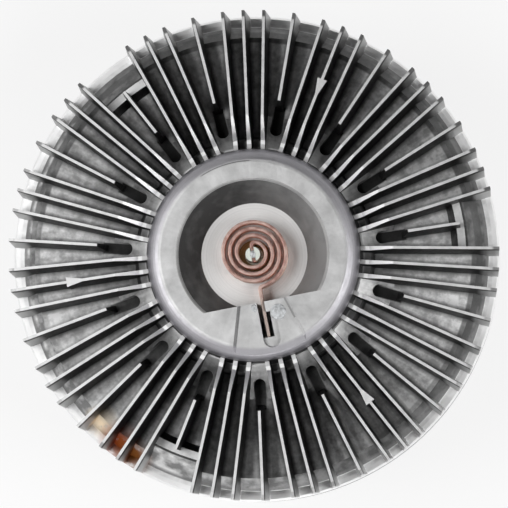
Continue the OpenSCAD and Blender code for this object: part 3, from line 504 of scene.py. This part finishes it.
# Painted shade: the bowl's wall is darker on its left, broken into patches.
bowl_patches = ramp(cover.made, cover_noise(160), 0.3, 0.7, -0.15, 0.15)
bowl_light_share = maths(cover.made, "ADD", span(side_of((0.9, -0.45, 0)), -20, 22), bowl_patches)
paint(blend_colours(cover.made, bowl_light_share, grey(0.1), grey(0.42)), bowl)
cover.rough = maths(cover.made, "MAXIMUM", cover.rough, times(cover.made, bowl, 0.85))
turned_floor = blend_colours(cover.made, rings(cover.made, cover.radius, 1800, 3), grey(0.7, 0.01), grey(0.84, 0.01))
paint(turned_floor, zone(-1, 20.5, 76, 77.1, 0.2))
print("cover finish:", len(cover.made.node_tree.nodes), "nodes")

# %% [markdown]
# ### Rust
# Water has stood on the rim at the lower left and left a pale bloom and two rust stains. Each is a soft ball about a
# place on the rim, broken up by a noise so that no edge of the ball shows.

# %% Rust
stain_height = 68 * MM
rust_patches = ramp(cover.made, cover_noise(260, 4), 0.25, 0.42)
for angle, out, reach, stain_colour in [
    (224.4, 87, 8, (0.95, 0.8, 0.6, 1)),
    (231.4, 89, 10, (0.35, 0.075, 0.016, 1)),
    (235.6, 90.5, 9, (0.26, 0.095, 0.022, 1)),
]:
    turn = math.radians(angle)
    middle = (out * MM * math.cos(turn), out * MM * math.sin(turn), stain_height)
    away_from = add(cover.made, "VectorMath", {0: cover.point, 1: middle}, operation="DISTANCE").outputs["Value"]
    paint(stain_colour, span(away_from, reach, reach * 0.25), rust_patches)
cover.made.node_tree.links.new(cover.colour, cover.shader.inputs["Base Color"])
cover.made.node_tree.links.new(cover.rough, cover.shader.inputs["Roughness"])
print("cover finish:", len(cover.made.node_tree.nodes), "nodes")

# %% [markdown]
# ## Finishes of the other solids
# The housing and the rotor are the same kind of casting as the cover, less worn. The steels and the brass are turned
# on a lathe, which leaves fine rings round the axis. One function makes them all, because they differ only in colour
# and in gloss.

# %% Castings and turned metals
housing = cast_skin("housing_cast", film_shade_level=0.34, skin=0.58, grain_depth=0.15 * MM, patchy=0.45)
rotor = cast_skin("rotor_cast", film_shade_level=0.5, skin=0.64, grain_depth=0.1 * MM, patchy=0.4)


def turned_metal(name, dark, light, roughness):
    """Steel or brass from a lathe, with fine rings round the axis in its colour and in its surface."""
    made, shader = new_finish(name)
    point, radius = place_of(made)
    lathe_marks = rings(made, radius, 2500, 2)
    smears = noise(made, point, 300)
    share = times(made, lathe_marks, ramp(made, smears, 0.2, 0.8, 0.85, 1.1))
    rough = ramp(made, smears, 0.3, 0.7, roughness * 0.92, roughness * 1.1)
    coat(made, shader, blend_colours(made, share, dark, light), rough, lathe_marks, 0.2, 0.02 * MM, metallic=1.0)
    return made


shaft_steel = turned_metal("shaft_steel", grey(0.34), grey(0.52), 0.38)
bearing_steel = turned_metal("bearing_steel", grey(0.5), grey(0.64), 0.22)
cage_steel = turned_metal("cage_steel", grey(0.38, 0.02), grey(0.52, 0.02), 0.35)
spring_steel = turned_metal("spring_steel", grey(0.1), grey(0.18), 0.4)
plate_steel = turned_metal("plate_steel", grey(0.44), grey(0.58), 0.34)
valve_steel = turned_metal("valve_steel", (0.66, 0.7, 0.64, 1), (0.86, 0.9, 0.83, 1), 0.5)
bush_brass = turned_metal("bush_brass", (0.2, 0.13, 0.06, 1), (0.36, 0.25, 0.12, 1), 0.4)
zinc_plate = turned_metal("zinc_plate", grey(0.42, -0.02), grey(0.58, -0.02), 0.32)
print("finishes:", len(bpy.data.materials))

# %% [markdown]
# The seals are moulded rubber, nearly black with a dull bloom, and a fine grain breaks up the gloss. Rubber is no
# metal, so its shader keeps the Metallic value that it starts with, zero.

# %% Seal rubber
seal_rubber, shader = new_finish("seal_rubber")
point, radius = place_of(seal_rubber)
bloom = noise(seal_rubber, point, 400, 4)
coat(seal_rubber, shader, blend_colours(seal_rubber, bloom, grey(0.012), grey(0.035)),
     ramp(seal_rubber, bloom, 0.3, 0.7, 0.5, 0.75), noise(seal_rubber, point, 2500), 0.3, 0.03 * MM)
print("finishes:", len(bpy.data.materials))

# %% [markdown]
# The coil's strip is copper-coloured, darker along its edges and lighter on its flat sides, where the colour is
# lifted as painted light against the shade between the turns, and its tang is dulled where the hub holds it. The
# direction of the surface tells edge and side apart, and a noise breaks the line.

# %% Bimetal finish
bimetal_strip, shader = new_finish("bimetal_strip")
point, radius = place_of(bimetal_strip)
facing = parts_of(bimetal_strip, add(bimetal_strip, "TexCoord").outputs["Normal"])["Z"]
tarnish = noise(bimetal_strip, point, 350, 5)
bare = ramp(bimetal_strip, tarnish, 0.35, 0.65)
# Painted light: the flat sides are lightened to lift the shade between the turns.
flat_side_painted_light = blend_colours(bimetal_strip, bare, (0.74, 0.45, 0.37, 1), (0.94, 0.68, 0.58, 1))
edge = blend_colours(bimetal_strip, bare, (0.36, 0.2, 0.17, 1), (0.6, 0.43, 0.38, 1))
copper = blend_colours(bimetal_strip, ramp(bimetal_strip, facing, 0.3, 0.7), flat_side_painted_light, edge)
tang_dull = ramp(bimetal_strip, radius, 14 * MM, 21 * MM, 0, 0.75)
copper = blend_colours(bimetal_strip, tang_dull, copper, (0.42, 0.37, 0.33, 1))
coat(bimetal_strip, shader, copper, ramp(bimetal_strip, tarnish, 0.3, 0.7, 0.4, 0.6), tarnish, 0.2, 0.05 * MM,
     metallic=0.5)
print("bimetal finish:", len(bimetal_strip.node_tree.nodes), "nodes")

# %% [markdown]
# The record names a material slot for each solid. A table from slot to finish dresses them all in one loop, and only
# the material slots of the solids are touched.

# %% Dress the solids
finish_of = {
    "cover_casting": cover.made,
    "housing_casting": housing.made,
    "rotor_casting": rotor.made,
    "shaft_steel": shaft_steel,
    "bearing_steel": bearing_steel,
    "cage_steel": cage_steel,
    "spring_steel": spring_steel,
    "plate_steel": plate_steel,
    "valve_steel": valve_steel,
    "bush_brass": bush_brass,
    "bimetal": bimetal_strip,
    "zinc_screw": zinc_plate,
    "seal_rubber": seal_rubber,
}
for row in frame["record"]["subparts"]:
    solid = nodes[row["node"]]
    solid.data.materials.clear()
    solid.data.materials.append(finish_of[row["material_slot"]])

# %% [markdown]
# ## Bimetal coil
# The coil is a strip of two metals bonded face to face, which curls as it warms. Its outer end, the tang, is held
# in a slit of the hub, and its inner end is hooked into the valve shaft. A curve with a bevel would give a
# spiral too, but a flat section that is drawn straight and then spun is how such a strip is wound: a short bend,
# half turns of shrinking radius about two centres by turns, and a last bend to the hook.

# %% Wind the coil
strip_t, strip_w, pitch = 1.2 * MM, 8.5 * MM, 2.6 * MM
coil_low = 78.3 * MM
tang_end, tang_foot, tang_bend = 32.4 * MM, 13.94 * MM, 84.672
hook_foot, hook_end = -3.357 * MM, 2.8 * MM
bend_r, half_turns = pitch / 2, 7
first_start, last_stop = 90 - tang_bend, 158.83
anchor = math.radians(278.7)

bpy.ops.object.select_all(action="DESELECT")
bpy.ops.mesh.primitive_plane_add(
    size=1, location=(tang_end, 0, coil_low + strip_w / 2), rotation=(0, math.pi / 2, 0))
coil = bpy.context.object
coil.name = "bimetal_coil_strip"
bpy.ops.object.transform_apply()
bpy.ops.object.mode_set(mode="EDIT")
bpy.ops.transform.resize(value=(1, strip_t, strip_w))


def draw_out(run):
    bpy.ops.mesh.extrude_region_move(TRANSFORM_OT_translate={"value": (run, 0, 0)})


def wind(centre, angle, steps):
    """Spins the strip's end about an upright axis, anticlockwise for a positive angle."""
    bpy.ops.mesh.spin(steps=steps, angle=math.radians(angle), center=(*centre, 0), axis=(0, 0, -1))


bend_steps, half_steps = 8, 30
draw_out(tang_foot - tang_end)
wind((tang_foot, bend_r), -tang_bend, bend_steps)
for half in range(half_turns):
    start = first_start if half == 0 else 0
    stop = last_stop if half == half_turns - 1 else 180
    wind((-bend_r * (half % 2), 0), stop - start, half_steps)
wind((hook_foot, bend_r), 270 - last_stop, bend_steps)
draw_out(hook_end - hook_foot)
bpy.ops.mesh.select_all(action="SELECT")
bpy.ops.mesh.remove_doubles(threshold=0.001 * MM)
bpy.ops.mesh.normals_make_consistent(inside=False)
bpy.ops.object.mode_set(mode="OBJECT")
coil.rotation_euler.z = anchor
bpy.ops.object.transform_apply()
print("coil:", len(coil.data.polygons), "faces")

# %% [markdown]
# The rolled strip has rounded edges, which a bevel gives at every sharp corner at once.

# %% Round the strip's edges
rounding = coil.modifiers.new("strip_edges", "BEVEL")
rounding.width, rounding.segments = 0.2 * MM, 2
rounding.limit_method, rounding.angle_limit = "ANGLE", math.radians(50)
bpy.ops.object.modifier_apply(modifier=rounding.name)
bpy.ops.object.shade_smooth_by_angle(angle=math.radians(40))
coil.data.materials.append(bimetal_strip)
print("coil with rounded edges:", len(coil.data.polygons), "faces")

# %% [markdown]
# When the valve turns, the whole spiral winds up a little, and each point of it moves by its share of the length
# along the strip. That length isn't in the mesh, so the strip's middle line is laid out once more as a list of
# points, with the straight runs and bends that it was wound with.

# %% Length along the strip
path, first_r = [], 12.7 * MM


def run_straight(start, stop, steps=40):
    path.extend(Vector((start + (stop - start) * step / steps, 0)) for step in range(steps + 1))


def run_round(centre, radius, start, stop, steps=60):
    for step in range(1, steps + 1):
        turn = math.radians(start + (stop - start) * step / steps)
        path.append(Vector((centre[0] + radius * math.cos(turn), centre[1] + radius * math.sin(turn))))


run_straight(tang_end, tang_foot)
run_round((tang_foot, bend_r), bend_r, 270, 270 - tang_bend)
for half in range(half_turns):
    odd = half % 2
    start = first_start if half == 0 else 180 * odd
    stop = last_stop if half == half_turns - 1 else 180 * odd + 180
    run_round((-bend_r * odd, 0), first_r - half * bend_r, start, stop)
run_round((hook_foot, bend_r), bend_r, last_stop, 270)
run_straight(hook_foot, hook_end)
lengths = [0.0]
for before, after in zip(path, path[1:]):
    lengths.append(lengths[-1] + (after - before).length)
print("strip length in mm:", round(lengths[-1] / MM))

# %% [markdown]
# The tang stays with the hub and the hook goes with the shaft.

# %% Let the coil wind up
slit_face = 18.8 * MM
free_from, free_to = tang_end - slit_face, lengths[-1] - 2 * hook_end
nearest_on = kdtree.KDTree(len(path))
for index, place in enumerate(path):
    nearest_on.insert((Matrix.Rotation(anchor, 2) @ place).to_3d(), index)
nearest_on.balance()
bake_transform(coil, "housing", "valve", start=(0, -slit_face, coil_low), end=(0, 0, coil_low))
for vertex, share in zip(coil.data.vertices, coil.data.attributes["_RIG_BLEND"].data):
    along = lengths[nearest_on.find((vertex.co.x, vertex.co.y, 0))[1]]
    share.value = min(max((along - free_from) / (free_to - free_from), 0), 1)
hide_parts("bimetal_coil")
print("length that winds up in mm:", round((free_to - free_from) / MM))

# %% [markdown]
# ## Staked places
# The strip isn't soldered. A punch drives metal of the hub over the tang, and another closes the slot of the valve
# shaft over the hook. Metal that has been driven over has a rough, pale skin. One noise gives it colour, gloss and
# bumps together, so a pit is dark, dull and low at once.

# %% Staked metal
staked_metal, shader = new_finish("staked_metal")
point, radius = place_of(staked_metal)
pebbles = noise(staked_metal, point, 900, 4)
pebble_colour = blend_colours(
    staked_metal, ramp(staked_metal, pebbles, 0.35, 0.65), grey(0.42, -0.02), grey(0.74, -0.02))
coat(staked_metal, shader, pebble_colour, ramp(staked_metal, pebbles, 0.3, 0.7, 0.6, 0.8), pebbles, 0.3, 0.1 * MM,
     metallic=0.9)
print("finishes:", len(bpy.data.materials))

# %% [markdown]
# What stays are three small lumps. They could be sculpted, but a ball that is flattened, cut flat below and roughened
# by small moves of its points gives the same look from a few numbers.

# %% Staked lumps
def lump(name, middle, half_size, base, unevenness, seed):
    """A rough flattened lump, in mm; its middle is given along and across the tang, and its base is cut level."""
    bpy.ops.object.select_all(action="DESELECT")
    bpy.ops.mesh.primitive_ico_sphere_add(subdivisions=4, radius=1)
    made = bpy.context.object
    made.name = name
    bpy.ops.object.mode_set(mode="EDIT")
    bpy.ops.transform.resize(value=Vector(half_size) * MM)
    bpy.ops.transform.vertex_random(offset=unevenness * MM, uniform=0.3, normal=0.7, seed=seed)
    bpy.ops.mesh.vertices_smooth(factor=0.5, repeat=2)
    bpy.ops.transform.translate(value=Vector(middle) * MM)
    bpy.ops.mesh.select_all(action="SELECT")
    bpy.ops.mesh.bisect(plane_co=(0, 0, base * MM), plane_no=(0, 0, 1), clear_inner=True, use_fill=True)
    bpy.ops.object.mode_set(mode="OBJECT")
    made.rotation_euler.z = anchor
    bpy.ops.object.transform_apply()
    bpy.ops.object.shade_smooth_by_angle(angle=math.radians(50))
    made.data.materials.append(staked_metal)
    print(name, "top in mm:", round(max(v.co.z for v in made.data.vertices) / MM, 2))
    return made


panel_floor, pocket_floor, strip_top = 88.8, 87.2, (coil_low + strip_w) / MM
right_lump = lump("staked_lump", middle=(23.6, 5.5, 88.5), half_size=(3.4, 3.2, 0.9),
                  base=pocket_floor - 0.05, unevenness=0.3, seed=3)
left_lip = lump("staked_lip", middle=(20.6, -3.4, panel_floor), half_size=(1.5, 1.1, 0.6),
                base=panel_floor - 0.3, unevenness=0.15, seed=5)
hook_stake = lump("hook_stake", middle=(0, 0, 87.2), half_size=(1.5, 1.3, 1.1),
                  base=strip_top + 0.05, unevenness=0.2, seed=8)
for piece, body, slot in [
    (right_lump, "housing", "cover_casting"),
    (left_lip, "housing", "cover_casting"),
    (hook_stake, "valve", "valve_steel"),
]:
    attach(piece, body)

# %% [markdown]
# ## Cover screws
# Eight screws draw the housing to the cover from behind. Each has a six-sided head on a round flange, both with
# broken edges. One screw is modelled: a six-sided cylinder whose end edges are bevelled, a round one for the flange,
# and one for the shank. The edges are found by their faces, which look along the axis.

# %% One cover screw
screws_low, screws_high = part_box("cover_screws")
circle_r, head_h, flange_t = 88 * MM, 4 * MM, 1.2 * MM
head_af, flange_r, shank_r = 8 * MM, 5.2 * MM, 2.5 * MM
bar_edge, flange_edge = 0.4 * MM, 0.25 * MM
head_gap, shank_bite = 0.02 * MM, 0.5 * MM
seat = screws_low.z + head_h


def rod(sides, radius, low, high, edge):
    """An upright bar at the first screw's place, with its two ends' edges bevelled."""
    bpy.ops.object.select_all(action="DESELECT")
    bpy.ops.mesh.primitive_cylinder_add(
        vertices=sides, radius=radius, depth=high - low, location=(circle_r, 0, (low + high) / 2))
    made = bpy.context.object
    bpy.ops.object.mode_set(mode="EDIT")
    bpy.ops.mesh.select_all(action="DESELECT")
    bpy.ops.object.mode_set(mode="OBJECT")
    for face in made.data.polygons:
        face.select = abs(face.normal.z) > 0.9
    bpy.ops.object.mode_set(mode="EDIT")
    bpy.ops.mesh.region_to_loop()
    bpy.ops.mesh.bevel(offset=edge, segments=2, affect="EDGES")
    bpy.ops.object.mode_set(mode="OBJECT")
    bpy.ops.object.transform_apply()
    return made


head = rod(6, head_af / math.sqrt(3), screws_low.z, seat - head_gap, bar_edge)
flange_disc = rod(48, flange_r, seat - flange_t, seat, flange_edge)
shank = rod(32, shank_r, seat - shank_bite, screws_high.z, bar_edge)
for piece in (head, flange_disc, shank):
    piece.select_set(True)
bpy.ops.object.join()
screw = bpy.context.object
bpy.ops.object.shade_smooth_by_angle(angle=math.radians(25))
screw.data.materials.clear()
screw.data.materials.append(zinc_plate)
print("screw:", len(screw.data.polygons), "faces")

# %% [markdown]
# The screw is copied and turned round the clutch's axis. An array would make one mesh of them all, but each screw is
# a piece by itself, so each copy gets a mesh of its own, with its place in it.

# %% Copies of the screw
screw_count = 8
for number in range(1, screw_count + 1):
    if number > 1:
        bpy.ops.object.select_all(action="DESELECT")
        screw.select_set(True)
        bpy.context.view_layer.objects.active = screw
        bpy.ops.object.duplicate(linked=False)
        screw = bpy.context.object
        screw.rotation_euler.z = 2 * math.pi / screw_count
        bpy.ops.object.transform_apply()
    screw.name = f"cover_screw_{number}"
    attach(screw, "housing")
    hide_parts("cover_screws")
print("screws:", screw_count)
